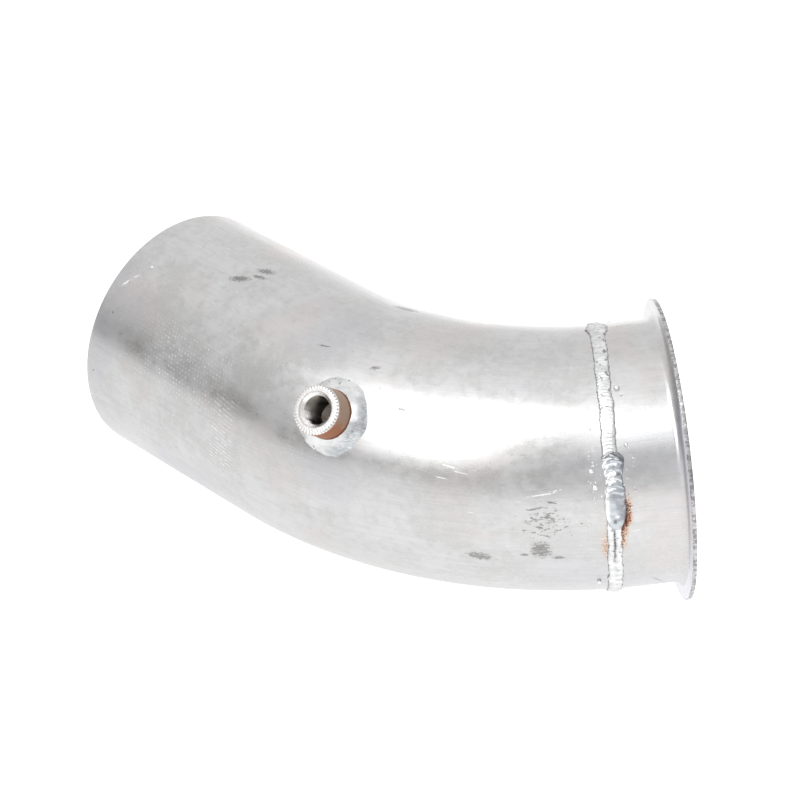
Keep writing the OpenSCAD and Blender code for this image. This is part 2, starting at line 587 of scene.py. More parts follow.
    def _scuffs(self, p: Pattern) -> Socket:
        """Share of fine crossed scratches and bright flecks, all over."""
        one_way = p.step(p.cloud(p.place((0.16, 1.0, 1.0), 14), 1.5, 1.0), 0.775, 0.80)
        other_way = p.step(p.cloud(p.place((0.14, 1.0, 1.0), -27), 1.7, 1.0), 0.775, 0.80)
        flecks = p.step(p.cloud(p.place(), 0.75, 3.0, 0.75), 0.66, 0.74)
        return p.most(p.times(p.most(one_way, other_way), 0.5), p.times(flecks, 0.45))

    def _soot(self, p: Pattern, blotch: Socket, drawn: Socket,
              pits: Socket) -> Socket:
        """Colour of the inside: brown-grey soot, thin in streaks, with rusty pits.

        Args:
            p: the pattern being built.
            blotch: noise that varies the soot.
            drawn: noise drawn out along the tube.
            pits: share of the pits.

        Returns:
            The colour.
        """
        browned = p.step(p.plus(p.times(blotch, 0.5), p.times(drawn, 0.5)), 0.4, 0.6)
        thin = p.step(p.cloud(p.place((0.2, 1, 1)), 0.12, 4.0, 0.65), 0.5, 0.66)
        soot = p.tint(p.times(thin, 0.6), p.tint(browned, self.soot, self.soot_brown), self.dull)
        return p.tint(p.times(pits, 0.7), soot, self.dark_rust)

    def _marks(self, p: Pattern, marks: Iterable[Mark], fine: Socket) -> Socket | float:
        """Ragged patches at the places of marks.

        Args:
            p: the pattern being built.
            marks: the flaws.
            fine: noise that frays their edges.

        Returns:
            Their share from 0 to 1.
        """
        total: Socket | float = 0.0
        along, out, up = p.split(p.place())
        angle = p.sum(Sum.ANGLE, up, out)
        for mark in marks:
            turn = math.radians(mark.turn)
            s = p.sum(Sum.SUBTRACT, along, mark.along)
            a = p.times(p.sum(Sum.SUBTRACT, angle, math.radians(mark.around)), self.tube_r)
            u = p.plus(p.times(s, math.cos(turn) / mark.length), p.times(a, math.sin(turn) / mark.length))
            v = p.plus(p.times(a, math.cos(turn) / mark.width), p.times(s, -math.sin(turn) / mark.width))
            far = p.plus(p.times(u, u), p.times(v, v), p.times(fine, 4.2))
            total = p.most(total, p.step(far, 2.9, 2.2))
        return total

    def _grip(self, p: Pattern) -> Socket:
        """Rows of dots and short strokes that the bender's die pressed into the leg.

        Args:
            p: the pattern being built.

        Returns:
            Their share from 0 to 1.
        """
        along, out, up = p.split(p.place())
        arc = p.times(p.sum(Sum.ANGLE, up, out), self.tube_r)
        skew = p.plus(along, p.times(arc, 0.35))
        row = p.sum(Sum.SINE, p.times(p.plus(arc, p.times(along, 0.06)), FULL_TURN / 1.6))
        dots = p.sum(Sum.LEAST, row, p.sum(Sum.SINE, p.times(skew, FULL_TURN / 1.75)))
        worn = p.cloud(p.place(), 0.45, 4.0, 0.75)
        uneven = p.step(p.cloud(p.place(), 1.3, 2.0, 0.6), 0.35, 0.65, 0.25, 1.0)
        dots = p.times(p.step(dots, 0.1, 0.6), p.stored("grip_dots"), p.step(worn, 0.44, 0.58), uneven)
        lines = p.sum(Sum.SINE, p.times(p.plus(arc, p.times(along, 0.22)), FULL_TURN / 1.65))
        lines = p.times(p.step(lines, 0.6, 0.95), p.stored("grip_lines"), p.step(worn, 0.42, 0.6), uneven)
        return p.most(dots, lines)


@dataclass(frozen=True)
class WeldMetal:
    """Weld metal as laid: bright, with dark toes, pores, rust and crust, and ground off in places."""

    name: str
    bright: RGB = (0.72, 0.72, 0.72)
    grey: RGB = (0.56, 0.565, 0.57)
    # dark of the toes, which is oxide and painted shade, and of the pores
    toe: RGB = (0.13, 0.13, 0.135)
    rust: RGB = (0.22, 0.07, 0.025)
    # white of the crust and of the lump's painted highlights
    crust: RGB = (0.9, 0.9, 0.9)
    ground_tone: RGB = (0.33, 0.36, 0.38)
    gloss: tuple[float, float] = (0.26, 0.44)
    coarse: float = 0.8
    depth: float = 0.05
    ground: bool = False

    def material(self) -> bpy.types.Material:
        """Builds the finish.

        Returns:
            The material.
        """
        p = Pattern(self.name)
        flat = p.place()
        blotch = p.cloud(flat, 0.35 * self.coarse, 4.0, 0.65)
        fine = p.cloud(flat, 1.7 * self.coarse, 5.0, 0.7)
        colour = p.tint(p.step(blotch, 0.42, 0.62), self.bright, self.grey)
        # the toes are darkened as oxide and as painted shade in the crease
        toe = p.times(p.stored("toe"), p.step(p.cloud(p.place(), 0.8, 3.0, 0.6), 0.25, 0.5))
        # pores darken the metal, and on the lump so does painted shade on its oval
        colour = p.tint(p.most(toe, p.stored("pores_and_painted_shade")), colour, self.toe)
        colour = p.tint(p.step(p.plus(p.stored("rust"), p.times(fine, 0.8)), 0.8, 1.1), colour, self.rust)
        height = p.plus(fine, p.times(blotch, 0.6))
        if self.ground:
            strokes = p.cloud(p.place((0.12, 1.0, 1.0), 38), 1.5, 3.0, 0.6)
            ground = p.stored("ground")
            dull = p.step(strokes, 0.3, 0.7, 0.25, 1.0)
            colour = p.tint(p.times(ground, dull), colour, self.ground_tone)
            height = p.plus(height, p.times(strokes, ground, 2.0))
        # white crust, and on the lump painted highlights, lighten the metal
        p.put("Base Color", p.tint(p.stored("crust_and_painted_highlight"), colour, self.crust))
        p.put("Roughness", p.step(p.plus(p.times(blotch, 0.6), p.times(fine, 0.4)), 0.35, 0.65, *self.gloss))
        p.relief(height, self.depth, 0.8)
        return p.material


@dataclass(frozen=True)
class BossSteel:
    """Turned bar: bright on its end, rusty on its side, with painted shade down its hole."""

    name: str = "boss_turned_bar"
    bright: RGB = (0.86, 0.86, 0.86)
    side: RGB = (0.40, 0.29, 0.22)
    rust: RGB = (0.36, 0.14, 0.065)
    foot: RGB = (0.12, 0.035, 0.015)
    nick: RGB = (0.10, 0.10, 0.10)
    # painted shade down the tapped hole
    hole: RGB = (0.20, 0.18, 0.16)

    def material(self) -> bpy.types.Material:
        """Builds the finish.

        Returns:
            The material.
        """
        p = Pattern(self.name)
        flat = p.place()
        fine = p.cloud(flat, 1.6, 5.0, 0.7)
        rings = p.sum(Sum.SINE, p.times(p.stored("boss_height"), FULL_TURN / 0.45))
        side = p.stored("boss_side")
        colour = p.tint(p.step(fine, 0.35, 0.65, 0.0, 0.35), self.bright, self.side)
        lines = p.cloud(p.place((0.2, 0.2, 1.0)), 2.2, 2.0, 0.6)
        patches = p.cloud(flat, 0.25, 4.0, 0.6)
        rusted = p.plus(p.times(patches, 0.5), p.times(p.stored("boss_low"), 0.45), p.times(lines, 0.25))
        browned = p.tint(p.step(rusted, 0.35, 0.75), self.side, self.rust)
        colour = p.tint(p.times(side, p.step(p.plus(side, fine), 0.7, 1.2)), colour, browned)
        colour = p.tint(p.times(p.stored("boss_nick"), 0.8), colour, self.nick)
        colour = p.tint(p.times(p.stored("boss_foot"), p.step(fine, 0.2, 0.5)), colour, self.foot)
        # painted shade down the hole, lit on one side near its top
        p.put("Base Color", p.tint(p.stored("boss_hole_shade"), colour, self.hole))
        p.put("Metallic", p.step(side, 0.3, 1.0, 1.0, 0.6))
        p.put("Roughness", p.step(p.plus(p.times(side, 0.6), p.times(fine, 0.4)), 0.1, 0.8, 0.22, 0.55))
        p.relief(p.plus(p.times(rings, 0.3), fine), 0.03, 0.6)
        return p.material


# ---- the pieces -----------------------------------------------------------


def dress(piece: Piece, node: Node, material: bpy.types.Material) -> Piece:
    """Gives a piece its finish and ties it to the CAD node that it stands for.

    Args:
        piece: the finished object.
        node: the CAD node.
        material: the finish.

    Returns:
        The same object.
    """
    piece.data.materials.clear()
    piece.data.materials.append(material)
    for polygon in piece.data.polygons:
        polygon.material_index = 0
    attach(piece, "root")
    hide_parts(node.value)
    LOG.info("%s stands for %s: %d faces", piece.name, node.value, len(piece.data.polygons))
    return piece


@dataclass
class ElbowTube:
    """The bent tube with its plain leg and the hole for the boss."""

    layout: Layout
    finish: SatinSteel
    around: int = 180
    bend_steps: int = 90
    leg_steps: int = 48
    waviness: float = 0.10 * MM
    rim_break: float = 0.25 * MM

    def build(self) -> Piece:
        """Bends the tube, gives it its wall and cuts the hole.

        Returns:
            The tube.
        """
        lay = self.layout
        bm = bmesh.new()
        start = lay.bend() @ Matrix.Translation((0, -lay.bend_r, 0)) @ Matrix.Rotation(math.pi / 2, 4, "Y")
        ring = bmesh.ops.create_circle(bm, segments=self.around, radius=lay.tube_r, matrix=start)["verts"]
        edges = bm.edges[:]
        gap = math.asin(lay.root_gap / 2 / lay.bend_r)
        turn = math.radians(lay.bend_angle) - gap
        spin(bm, ring + edges, lay.bend().translation, (0, 0, 1), turn, self.bend_steps)
        back = lay.bend().to_3x3() @ Vector((-lay.leg / self.leg_steps, 0, 0))
        for _ in range(self.leg_steps):
            made = bmesh.ops.extrude_edge_only(bm, edges=edges)["geom"]
            edges = [g for g in made if isinstance(g, Edge)]
            verts = [g for g in made if isinstance(g, Point)]
            bmesh.ops.translate(bm, verts=verts, vec=back)
        bmesh.ops.recalc_face_normals(bm, faces=bm.faces)
        bm.faces.ensure_lookup_table()
        face_out(bm, bm.faces[0], lay.bend_surface)
        self._wear(bm)
        bmesh.ops.solidify(bm, geom=bm.faces[:], thickness=lay.wall)
        break_rim(bm, lambda co: lay.unbent_tube(co).x < 0.5, self.rim_break)
        piece = place_mesh(bm, "elbow_tube_skin")
        self._cut_hole(piece)
        store_place(piece, lay.unbent_tube)
        store(piece, {
            "grip_dots": lambda co: self._on_sheet(co, self._grip_dots),
            "grip_lines": lambda co: self._on_sheet(co, self._grip_lines),
            "pitted": lambda co: self._on_sheet(co, self._pitted),
            "rust": self._rust,
            "inside": lambda co: 1 - smooth(*MID_WALL, math.hypot(*lay.unbent_tube(co).yz)),
        })
        return dress(piece, Node.TUBE, self.finish.material())

    def _on_sheet(self, co: Vector, rule: Callable[[float, float], float]) -> float:
        """Reads a rule at a point's length in mm and angle in degrees."""
        flat = self.layout.unbent_tube(co)
        return rule(flat.x, math.degrees(math.atan2(flat.z, flat.y)))

    def _wear(self, bm: Skin) -> None:
        """Presses the skin in a little, as bending and handling leave it."""
        bm.normal_update()
        for vert in bm.verts:
            s, out, up = self.layout.unbent_tube(vert.co)
            wave = wobble(s / 34, out / 26, up / 26, seed=1) + 0.5 * wobble(s / 13, out / 11, up / 11, seed=2)
            vert.co -= vert.normal * self.waviness * (0.8 + 0.5 * wave)

    def _cut_hole(self, piece: Piece) -> None:
        """Drills the hole that the boss is let into."""
        lay = self.layout
        bm = bmesh.new()
        bmesh.ops.create_cone(bm, cap_ends=True, segments=96, radius1=lay.boss_r, radius2=lay.boss_r,
                              depth=20 * MM, matrix=lay.boss() @ Matrix.Translation((0, 0, lay.tube_r)))
        drill = place_mesh(bm, "drill")
        cut = piece.modifiers.new("hole", "BOOLEAN")
        cut.object, cut.operation, cut.solver = drill, "DIFFERENCE", "EXACT"
        bpy.context.view_layer.update()
        ready = piece.evaluated_get(bpy.context.evaluated_depsgraph_get())
        piece.data = bpy.data.meshes.new_from_object(ready)
        piece.modifiers.clear()
        bpy.data.objects.remove(drill)

    def _grip_dots(self, s: float, degrees: float) -> float:
        """Where the die left rows of dots."""
        edge = smooth(20, 40, s) * (1 - smooth(72, 84, s))
        return edge * smooth(16, 26, degrees) * (1 - smooth(40, 58, degrees))

    def _grip_lines(self, s: float, degrees: float) -> float:
        """Where the edge of the die left short strokes."""
        edge = smooth(74, 76, s) * (1 - smooth(84, 88, s))
        return edge * smooth(-12, 2, degrees) * (1 - smooth(28, 38, degrees))

    def _pitted(self, s: float, degrees: float) -> float:
        """Where the sheet has lost some of its coating."""
        return 1.1 * hump(s, 187, 12) * hump(degrees, 8, 15)

    def _rust(self, co: Vector) -> float:
        """Red-brown specks beside the weld, under the lump."""
        past, degrees = self.layout.beside_weld(co)
        near = smooth(-8.5, -3.0, past)
        return 0.66 * near * min(1.0, hump(degrees, -5, 9) + 0.45 * hump(degrees, 9, 7))


@dataclass
class FlareCollar:
    """The short collar, pressed out into its lip."""

    layout: Layout
    finish: SatinSteel
    around: int = 240
    fold: float = 3.5 * MM
    fold_steps: int = 12
    barrel_steps: int = 16
    lip_steps: int = 4
    rim_break: float = 0.25 * MM

    def build(self) -> Piece:
        """Spins the collar from its section and trims it at the weld.

        Returns:
            The collar.
        """
        lay = self.layout
        bm = bmesh.new()
        fold_x, spare = -(self.fold + lay.wall), 8 * MM
        first = bm.verts.new((-lay.collar - spare, lay.tube_r, 0))
        last = draw_on(bm, first, Vector((lay.collar + spare + fold_x, 0, 0)), self.barrel_steps)
        spin(bm, [last], (fold_x, lay.tube_r + self.fold, 0), (0, 0, 1), math.pi / 2, self.fold_steps)
        last = max(bm.verts, key=lambda v: v.co.y)
        draw_on(bm, last, Vector((0, lay.lip_r - last.co.y, 0)), self.lip_steps)
        spin_round(bm, (1, 0, 0), self.around, METRE_DOUBLES)
        bmesh.ops.recalc_face_normals(bm, faces=bm.faces)
        face_out(bm, min(bm.faces, key=lambda f: f.calc_center_median().x), self._from_axis)
        bmesh.ops.solidify(bm, geom=bm.faces[:], thickness=lay.wall)
        self._trim(bm)
        break_rim(bm, lambda co: self._from_axis(co) > lay.lip_r - 0.1 * MM, self.rim_break)
        piece = place_mesh(bm, "flare_collar_sheet")
        store_place(piece, lay.unbent_collar)
        store(piece, {
            "pitted": lambda co: 1.3 * smooth(57.7, 58.0, self._from_axis(co) / MM),
            "rust": self._rust,
            "lip": self._lip_sheen,
            "inside": self._inside,
        })
        return dress(piece, Node.COLLAR, self.finish.material())

    def _from_axis(self, co: Vector) -> float:
        """A point's distance from the collar's axis, in metres."""
        return math.hypot(co.y, co.z)

    def _trim(self, bm: Skin) -> None:
        """Cuts the barrel off in the plane of the weld and closes its edge."""
        weld = self.layout.weld()
        normal = weld.to_3x3() @ Vector((1, 0, 0))
        bmesh.ops.bisect_plane(bm, geom=bm.verts[:] + bm.edges[:] + bm.faces[:],
                               plane_co=weld @ Vector((self.layout.root_gap / 2, 0, 0)), plane_no=normal,
                               clear_inner=True, clear_outer=False)
        open_edges = [e for e in bm.edges if e.is_boundary]
        bmesh.ops.bridge_loops(bm, edges=open_edges)
        bmesh.ops.recalc_face_normals(bm, faces=bm.faces)

    def _rust(self, co: Vector) -> float:
        """Orange rust in the corner between the weld and the collar, beside the lump."""
        past, degrees = self.layout.beside_weld(co)
        toe = 2.8 + 2.0 * smooth(3, 9, degrees)
        beside = 1 - smooth(toe, toe + 4.4, past)
        return beside * min(1.0, 1.1 * hump(degrees, 12, 9) + 0.65 * hump(degrees, -2, 9))

    def _lip_sheen(self, co: Vector) -> float:
        """1 on the back of the lip, which is painted pale as a painted sheen, fading towards the top."""
        sheet = self._from_axis(co) / MM
        around = math.degrees(math.atan2(co.z, -co.y))
        sheen_around = 1 - 0.9 * smooth(38, 66, around) * (1 - smooth(150, 175, around))
        back = 1 - smooth(-1.3, -0.9, co.x / MM)
        return sheen_around * back * smooth(52.3, 54.0, sheet) * (1 - smooth(58.0, 58.15, sheet))

    def _inside(self, co: Vector) -> float:
        """1 on the face that the gas runs over, gone on the flat of the lip."""
        sheet, fold_x = self._from_axis(co), -(self.fold + self.layout.wall)
        if co.x < fold_x:
            return 1 - smooth(*MID_WALL, sheet / MM)
        deep = math.hypot(co.x - fold_x, sheet - self.layout.tube_r - self.fold) / MM
        return smooth(4.2, 4.9, deep) * (1 - smooth(51.5, 54.0, sheet / MM))


@dataclass
class WeldBead:
    """A length of weld swept round the seam, with a cap outside and a root bead inside."""

    layout: Layout
    finish: WeldMetal
    low: float
    high: float
    name: str
    node: Node
    slot: Slot
    half_width: float = 2.8
    height: float = 1.1
    root_half_width: float = 1.5
    root_height: float = 0.7
    pitch: float = 1.35
    section_points: int = 36
    step: float = 0.32
    sunk: float = 0.25
    root_sunk: float = 0.4
    toe: tuple[float, float] = (0.15, 0.7)
    seed: int = 1

    def build(self) -> Piece:
        """Sweeps the bead's section round the seam and shapes it.

        Returns:
            The bead.
        """
        bm = bmesh.new()
        ring = bmesh.ops.create_circle(bm, segments=self.section_points, radius=1.0)
        edges = bm.edges[:]
        turn = math.radians(self.high - self.low)
        steps = round(turn * self.layout.tube_mm / self.step)
        rows = self._sweep(bm, ring["verts"], edges, steps)
        for i, row in enumerate(rows):
            degrees = self.low + (self.high - self.low) * i / steps
            for j, vert in enumerate(row):
                vert.co = self._at(degrees, FULL_TURN * j / self.section_points)
        for row in (rows[0], rows[-1]):
            bmesh.ops.contextual_create(bm, geom=row)
        bmesh.ops.remove_doubles(bm, verts=bm.verts, dist=METRE_DOUBLES)
        bmesh.ops.recalc_face_normals(bm, faces=bm.faces)
        piece = place_mesh(bm, self.name, BEAD_EDGE)
        store_place(piece, self.layout.unbent_tube)
        store(piece, {"toe": self._toe_oxide_and_shade, "pores_and_painted_shade": self._pores_and_painted_shade, "rust": self._rust, "crust_and_painted_highlight": self._crust_and_painted_highlight})
        return dress(piece, self.node, self.finish.material())

    def _sweep(self, bm: Skin, verts: list, edges: list, steps: int) -> list[list]:
        """Extrudes the section once for each step.

        Args:
            bm: the mesh.
            verts: the section's points in order.
            edges: the section's edges.
            steps: how many lengths to add.

        Returns:
            The points of each section, in the same order round it.
        """
        rows = [list(verts)]
        for _ in range(steps):
            made = bmesh.ops.extrude_edge_only(bm, edges=edges)["geom"]
            fresh = [g for g in made if isinstance(g, Point)]
            edges = [g for g in made if isinstance(g, Edge)]
            by_place = {tuple(round(c, 5) for c in v.co): v for v in fresh}
            row = [by_place[tuple(round(c, 5) for c in v.co)] for v in rows[0]]
            rows.append(row)
        return rows

    def _at(self, degrees: float, turn: float) -> Vector:
        """One point of the bead.

        Args:
            degrees: place round the seam, above the outside of the bend.
            turn: place round the section, in radians.

        Returns:
            The point, in metres.
        """
        side, rise = math.cos(turn), math.sin(turn)
        if rise >= -1e-6:
            across = self.centre(degrees) + side * self.width(degrees, side)
            over = self.cap(degrees, side) * rise ** 0.85
            r = self.layout.tube_mm - self.sunk + max(0.0, over + self.sunk * min(1.0, rise * 3))
            r += self.ripple(degrees, side) * min(1.0, 2.2 * rise)
        else:
            across = side * self.root_half_width
            wave = 1 + 0.25 * wobble(degrees / 2, side, seed=self.seed + 5)
            r = self.layout.bore_r / MM + self.root_sunk + (self.root_height * wave + self.root_sunk) * rise
        a = math.radians(degrees)
        return self.layout.weld() @ (Vector((across, -r * math.cos(a), r * math.sin(a))) * MM)

    def width(self, degrees: float, side: float) -> float:
        """Half width of the cap on one side, in mm."""
        arc = degrees * ARC
        coarse = 0.45 * wobble(arc / 2.6, side > 0, seed=self.seed)
        return self.half_width + (coarse + 0.2 * wobble(arc / 0.9, side > 0, seed=self.seed + 2))

    def centre(self, degrees: float) -> float:
        """Drift of the cap towards the mouth, in mm."""
        return 0.35 * wobble(degrees / 9, seed=self.seed + 1)

    def cap(self, degrees: float, side: float) -> float:
        """Height of the cap's middle over the tube, in mm."""
        return self.height * (0.86 + 0.2 * wobble(degrees / 5, seed=self.seed + 3))

    def ripple(self, degrees: float, side: float) -> float:
        """Ripples that the pool left, curved towards where the bead started, in mm."""
        arc = degrees * ARC
        phase = (arc + 1.1 * side * side + 0.35 * wobble(arc / 2.2, seed=self.seed + 4)) / self.pitch
        scallop = abs(math.sin(math.pi * phase)) - 0.6
        return 0.16 * scallop + 0.12 * wobble(arc / 0.7, side * 2.5, seed=self.seed + 6)

    def _read(self, co: Vector) -> tuple[float, float, float]:
        """Place of a point across the seam in mm, round it in degrees and over the tube in mm."""
        across, degrees = self.layout.beside_weld(co)
        p = self.layout.weld().inverted() @ co / MM
        return across, degrees, math.hypot(p.y, p.z) - self.layout.tube_mm

    def _toe_oxide_and_shade(self, co: Vector) -> float:
        """1 where the cap meets the sheet, darkened there as oxide and as painted shade."""
        over = self._read(co)[2]
        return 1 - smooth(*self.toe, over) if over > -0.8 else 0.0

    def _pores_and_painted_shade(self, co: Vector) -> float:
        """Small dark pores."""
        across, degrees, _ = self._read(co)
        often = 0.5 - 0.12 * hump(degrees, 78, 16)
        return 0.8 * smooth(often, often + 0.1, wobble(degrees * ARC / 1.6, across / 1.1, seed=self.seed + 8))

    def _rust(self, co: Vector) -> float:
        """Rust along the edges under the lump."""
        across, degrees, over = self._read(co)
        return 0.75 * hump(degrees, 3, 7) * (1 - smooth(0.1, 0.8, over)) * smooth(1.0, 2.0, across)

    def _crust_and_painted_highlight(self, co: Vector) -> float:
        """White crust and painted highlights, which only the lump has."""
        return 0.0


@dataclass
class FarRun(WeldBead):
    """The run that starts under the lump and ends in a wide flat blob at the top."""

    def width(self, degrees: float, side: float) -> float:
        """Half width, spreading at the blob."""
        return super().width(degrees, side) * (1 + 0.55 * hump(degrees, 110, 7))

    def cap(self, degrees: float, side: float) -> float:
        """Height, sinking a little at the blob."""
        return super().cap(degrees, side) * (1 - 0.25 * hump(degrees, 110, 8))

    def ripple(self, degrees: float, side: float) -> float:
        """Ripples, with a groove between two ridges beside the lump."""
        groove = 0.7 * hump(side, self._split(degrees), 0.2) * smooth(338, 350, degrees)
        return super().ripple(degrees, side) - groove

    def _split(self, degrees: float) -> float:
        """Where the groove runs, as a share of the half width."""
        return 0.22 * wobble(degrees / 3.5, seed=21) - 0.05

    def _pores_and_painted_shade(self, co: Vector) -> float:
        """Pores, and the dark bottom of the groove."""
        across, degrees, _ = self._read(co)
        beside_lump = smooth(-17, -9, degrees) * (1 - smooth(9, 12, abs(degrees)))
        groove = beside_lump * hump(across, self.half_width * self._split(degrees + 360), 0.45)
        return max(super()._pores_and_painted_shade(co), 0.7 * groove)


@dataclass
class StopLump(WeldBead):
    """The lump where the near run was stopped: ripples above, a smooth oval crater below."""

    shoulder: float = 15.0
    oval_half_width: float = 4.1
    oval_height: float = 2.6
    pit: float = 9.5
    drift: float = 0.8
    toe: tuple[float, float] = (0.2, 1.1)

    def _past_shoulder(self, degrees: float) -> float:
        """How far down the oval from its widest place, from 0 there to 1 at its nose."""
        return (self.shoulder - degrees) / (self.shoulder - self.low)

    def width(self, degrees: float, side: float) -> float:
        """Half width, widest at the oval and round at its nose."""
        if degrees < self.shoulder:
            return self.oval_half_width * math.sqrt(max(0.02, 1 - self._past_shoulder(degrees) ** 2))
        neck = 0.9 * hump(degrees, 28, 5)
        end = math.sqrt(max(0.04, 1 - smooth(self.high - 4, self.high + 1, degrees) ** 2))
        return (self.oval_half_width - neck + 0.75 * wobble(degrees / 2.4, side > 0, seed=self.seed)) * end

    def centre(self, degrees: float) -> float:
        """Drift towards the lip."""
        return self.drift + 0.2 * wobble(degrees / 8, seed=self.seed)

    def cap(self, degrees: float, side: float) -> float:
        """Height, rising to the oval."""
        if degrees < self.shoulder:
            return self.oval_height * math.sqrt(max(0.02, 1 - self._past_shoulder(degrees) ** 3))
        slope = 1.3 * smooth(self.shoulder + 3, self.high - 4, degrees)
        return self.oval_height - slope - 0.5 * smooth(self.high - 3, self.high, degrees)

    def ripple(self, degrees: float, side: float) -> float:
        """Ripples above the oval only, with the crater's pit."""
        rough = smooth(18, 24, degrees)
        pit = -0.9 * hump(degrees, self.pit, 1.0) * hump(side, -0.1, 0.16)
        swell = 0.06 * wobble(degrees / 3, side, seed=4)
        return pit + swell + rough * 2.2 * super().ripple(degrees * 0.5, side)

    def _pores_and_painted_shade(self, co: Vector) -> float:
        """The pit, dark folds between the ripples, and painted shade on the oval's side towards the mouth."""
        across, degrees, _ = self._read(co)
        pit = hump(degrees, self.pit, 1.0) * hump(across - self.drift, -0.4, 0.8)
        folds = smooth(0.12, 0.4, wobble(degrees * ARC / 1.9, across / 1.5, seed=self.seed + 8))
        crown = hump(degrees + 0.9 * abs(across - self.drift), 38, 1.3)
        # painted shade: the oval darkens on its side towards the mouth
        shade = 0.4 * smooth(0.6, 3.2, across) * hump(degrees, 13, 6)
        return max(pit, 0.75 * folds * smooth(22, 27, degrees), 0.9 * crown, shade)

    def _crust_and_painted_highlight(self, co: Vector) -> float:
        """White crust above the oval, a painted highlight down its left side and a painted glint."""
        across, degrees, _ = self._read(co)
        patch = hump(degrees, 28.5, 2.6) * hump(across, 0.2, 1.5)
        # painted highlight: the oval's left side is lit white
        side = smooth(-0.9, -2.2, across) * smooth(7, 11, degrees) * (1 - smooth(34, 37, degrees))
        # painted glint
        glint = 0.8 * hump(degrees, 11.8, 0.7) * hump(across, 1.3, 0.7)
        return min(1.0, patch + 0.85 * side + glint)


@dataclass
class SensorBoss:
    """The turned boss with its tapped hole and nicked rim."""

    layout: Layout
    finish: BossSteel
    bore: float = 5.55
    height: float = 14.0
    chamfer: float = 1.25
    rim_break: float = 0.5
    pitch: float = 25.4 / 18
    thread_depth: float = 0.8
    around: int = 176
    teeth: int = 44
    nick_depth: float = 0.5

    @property
    def root(self) -> float:
        """Where the boss's side leaves the bore of the tube, from the centreline in mm."""
        return math.sqrt(self.layout.bore_r ** 2 - self.layout.boss_r ** 2) / MM

    @property
    def top(self) -> float:
        """The boss's end face, from the centreline in mm."""
        return self.layout.tube_r / MM + self.height

    def build(self) -> Piece:
        """Turns the boss from its section, cuts the thread and nicks the rim.

        Returns:
            The boss.
        """
        bm = bmesh.new()
        outer = self.layout.boss_r / MM
        inner_rows = round((self.top - self.chamfer - self.root) / self.pitch * 9)
        corners = ((self.bore, self.top - self.chamfer, inner_rows), (self.bore + self.chamfer, self.top, 4),
                   (outer - self.rim_break, self.top, 4), (outer, self.top - self.rim_break, 3),
                   (outer, self.root, 24), (self.bore, self.root, 3))
        vert = bm.verts.new((self.bore, 0, self.root))
        for r, z, steps in corners:
            vert = draw_on(bm, vert, Vector((r, 0, z)) - vert.co, steps)
        bmesh.ops.remove_doubles(bm, verts=bm.verts, dist=MM_DOUBLES)
        spin_round(bm, (0, 0, 1), self.around, MM_DOUBLES)
        for v in bm.verts:
            self._shape(v)
        bmesh.ops.recalc_face_normals(bm, faces=bm.faces)
        bmesh.ops.transform(bm, matrix=self.layout.boss() @ Matrix.Scale(MM, 4), verts=bm.verts)
        piece = place_mesh(bm, "sensor_boss", 40)
        back = self.layout.boss().inverted()
        store_place(piece, lambda co: (back @ co) / MM)
        store(piece, {
            "boss_height": lambda co: (back @ co).z / MM,
            "boss_side": lambda co: self._side(back @ co / MM),
            "boss_foot": lambda co: self._foot(back @ co / MM),
            "boss_hole_shade": lambda co: self._hole_shade(back @ co / MM),
            "boss_nick": lambda co: self._nick(back @ co / MM),
            "boss_low": lambda co: self._low(back @ co / MM),
        })
        return dress(piece, Node.BOSS, self.finish.material())

    def _shape(self, v: Point) -> None:
        """Moves one point of the plain turning to the thread's flank or the rim's nick."""
        r, turn = math.hypot(v.co.x, v.co.y), math.atan2(v.co.y, v.co.x) / FULL_TURN
        near = 0.01
        outer_edge = r > self.layout.boss_r / MM - self.rim_break - near
        if r < self.bore + near:
            phase = (v.co.z / self.pitch - turn) % 1.0
            last = self.top - self.chamfer
            fade = smooth(self.root, self.root + 0.6, v.co.z) * (1 - smooth(last - 0.3, last, v.co.z))
            grow = fade * self.thread_depth * (1 - abs(2 * phase - 1))
        elif outer_edge and v.co.z > self.top - self.rim_break - 2 * near:
            tooth = 0.5 + 0.5 * math.cos(FULL_TURN * self.teeth * turn)
            grow = -self.nick_depth * tooth
            v.co.z -= self.nick_depth / 2 * tooth
        else:
            return
        v.co.x *= (r + grow) / r
        v.co.y *= (r + grow) / r

    def _side(self, p: Vector) -> float:
        """1 on the boss's outer wall."""
        return smooth(9.3, 9.5, math.hypot(p.x, p.y)) * (1 - smooth(self.top - 1.4, self.top - 0.4, p.z))

    def _foot(self, p: Vector) -> float:
        """1 where the side meets the fillet weld."""
        return self._side(p) * (1 - smooth(54.6, 55.8, p.z))

    def _hole_shade(self, p: Vector) -> float:
        """1 down the tapped hole as painted shade, less on one side near its top, which is painted as lit."""
        lit = self.layout.boss().to_3x3() @ Vector((p.x, p.y, 0))
        # painted light: one side of the hole stays bright near its top
        lit_side = 0.8 * smooth(0.5, 4.5, -0.45 * lit.x - 0.9 * lit.z) * smooth(self.top - 9, self.top - 4, p.z)
        below = 1 - smooth(self.top - 2.6, self.top - 1.0, p.z)
        return (1 - lit_side) * below * (1 - smooth(6.3, 6.6, math.hypot(p.x, p.y)))

    def _nick(self, p: Vector) -> float:
        """1 in the nicks round the rim, and dark along the edge of the chamfer."""
        r = math.hypot(p.x, p.y)
        rim = smooth(8.6, 8.9, r) * smooth(self.top - 0.95, self.top - 0.7, p.z)
        nicks = rim * smooth(0.1, 0.8, math.cos(self.teeth * math.atan2(p.y, p.x)))
        ring = hump(r, self.bore + self.chamfer, 0.2) * smooth(self.top - 0.1, self.top, p.z)
        return max(0.55 * nicks, 0.5 * ring)

    def _low(self, p: Vector) -> float:
        """1 on the underside of the boss as the elbow lies, where its side is browner and darker."""
        down = self.layout.boss().to_3x3() @ Vector((p.x, p.y, 0))
        return smooth(2.0, -7.0, down.z)


